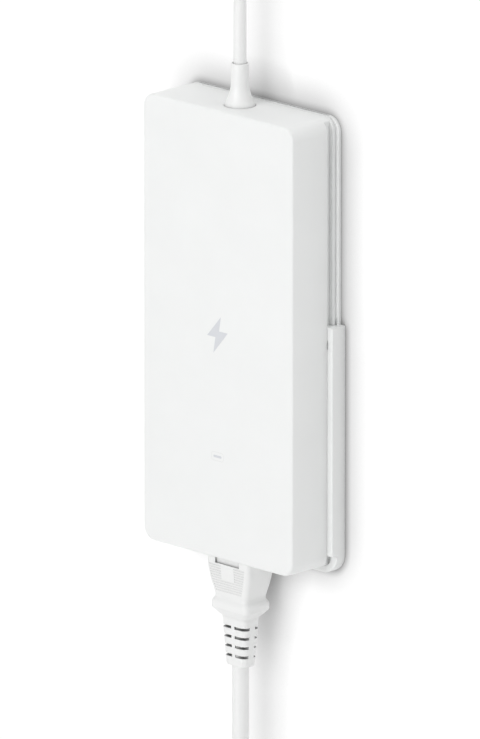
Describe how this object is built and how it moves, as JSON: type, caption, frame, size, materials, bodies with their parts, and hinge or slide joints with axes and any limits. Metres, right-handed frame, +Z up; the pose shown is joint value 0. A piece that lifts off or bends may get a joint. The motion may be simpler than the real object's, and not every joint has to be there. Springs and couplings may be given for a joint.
{
  "type": "wall-mounted AC-DC power adapter",
  "caption": "Flat white power brick that slides into a wall cradle, with a captive output lead on top and a pull-out mains lead below.",
  "frame": {"origin": "centre of the wall cradle's back face, on the wall plane", "axes": "+Z up along the adapter's length, +Y into the wall, the front faces -Y, +X to the right seen from the front"},
  "size_m": [0.1149, 0.0307, 0.6266],
  "materials": {
    "shell_white": "fine satin moulded texture",
    "soft_white": "soft moulded PVC, satin",
    "cord_white": "smooth PVC sheath, satin",
    "black_plastic": "satin",
    "steel": "zinc plated",
    "nickel": "nickel plated",
    "brass": "plain",
    "copper": "enamelled copper wire",
    "aluminium": "mill finish",
    "ferrite": "sintered, matt",
    "ceramic": "glazed",
    "circuit_board": "solder mask",
    "film": "polyester film",
    "capacitor_box": "moulded box",
    "capacitor_sleeve": "shrink sleeve",
    "red_wire": "PVC",
    "brown_wire": "PVC",
    "blue_wire": "PVC",
    "green_wire": "PVC"
  },
  "bodies": {
    "wall_cradle": {"wall_mount": "shell_white"},
    "adapter": {"boost_choke_core": "ferrite", "boost_choke_winding": "copper", "bridge_rectifier": "black_plastic", "bulk_capacitor_1": "capacitor_sleeve", "bulk_capacitor_2": "capacitor_sleeve", "circuit_board": "circuit_board", "cover_screw_1": "steel", "cover_screw_2": "steel", "cover_screw_3": "steel", "cover_screw_4": "steel", "front_housing": "shell_white", "fuse": "ceramic", "heat_spreader": "aluminium", "inlet_pin_earth": "nickel", "inlet_pin_line": "nickel", "inlet_pin_neutral": "nickel", "inlet_wire_earth": "green_wire", "inlet_wire_line": "brown_wire", "inlet_wire_neutral": "blue_wire", "insulation_sheet": "film", "mains_choke_core": "ferrite", "mains_choke_winding": "copper", "mains_inlet": "black_plastic", "output_capacitor_1": "capacitor_sleeve", "output_capacitor_2": "capacitor_sleeve", "output_capacitor_3": "capacitor_sleeve", "output_choke_core": "ferrite", "output_choke_winding": "copper", "output_gland": "soft_white", "output_lead": "cord_white", "output_plug_contact": "nickel", "output_plug_grip": "soft_white", "output_plug_insulator": "black_plastic", "output_plug_sleeve": "nickel", "output_rectifier": "black_plastic", "output_wire_negative": "black_plastic", "output_wire_positive": "red_wire", "primary_heatsink": "aluminium", "rear_cover": "shell_white", "secondary_heatsink": "aluminium", "switch_transistor": "black_plastic", "transformer_core": "ferrite", "transformer_winding": "copper", "x_capacitor": "capacitor_box"},
    "mains_lead": {"cord_tie": "soft_white", "mains_cord": "cord_white", "mains_cord_coil": "cord_white", "mains_cord_tail": "cord_white", "mains_plug": "soft_white", "plug_contact_earth": "brass", "plug_contact_line": "brass", "plug_contact_neutral": "brass", "wall_plug": "soft_white", "wall_plug_blade_line": "brass", "wall_plug_blade_neutral": "brass", "wall_plug_pin_earth": "brass"}
  },
  "joints": [
    {"name": "adapter_lift", "type": "slide", "parent": "wall_cradle", "child": "adapter", "axis": [0, 0, 1], "range_m": [0, 0.11]},
    {"name": "plug_pull", "type": "slide", "parent": "adapter", "child": "mains_lead", "axis": [0, 0, -1], "range_m": [0, 0.025]}
  ]
}
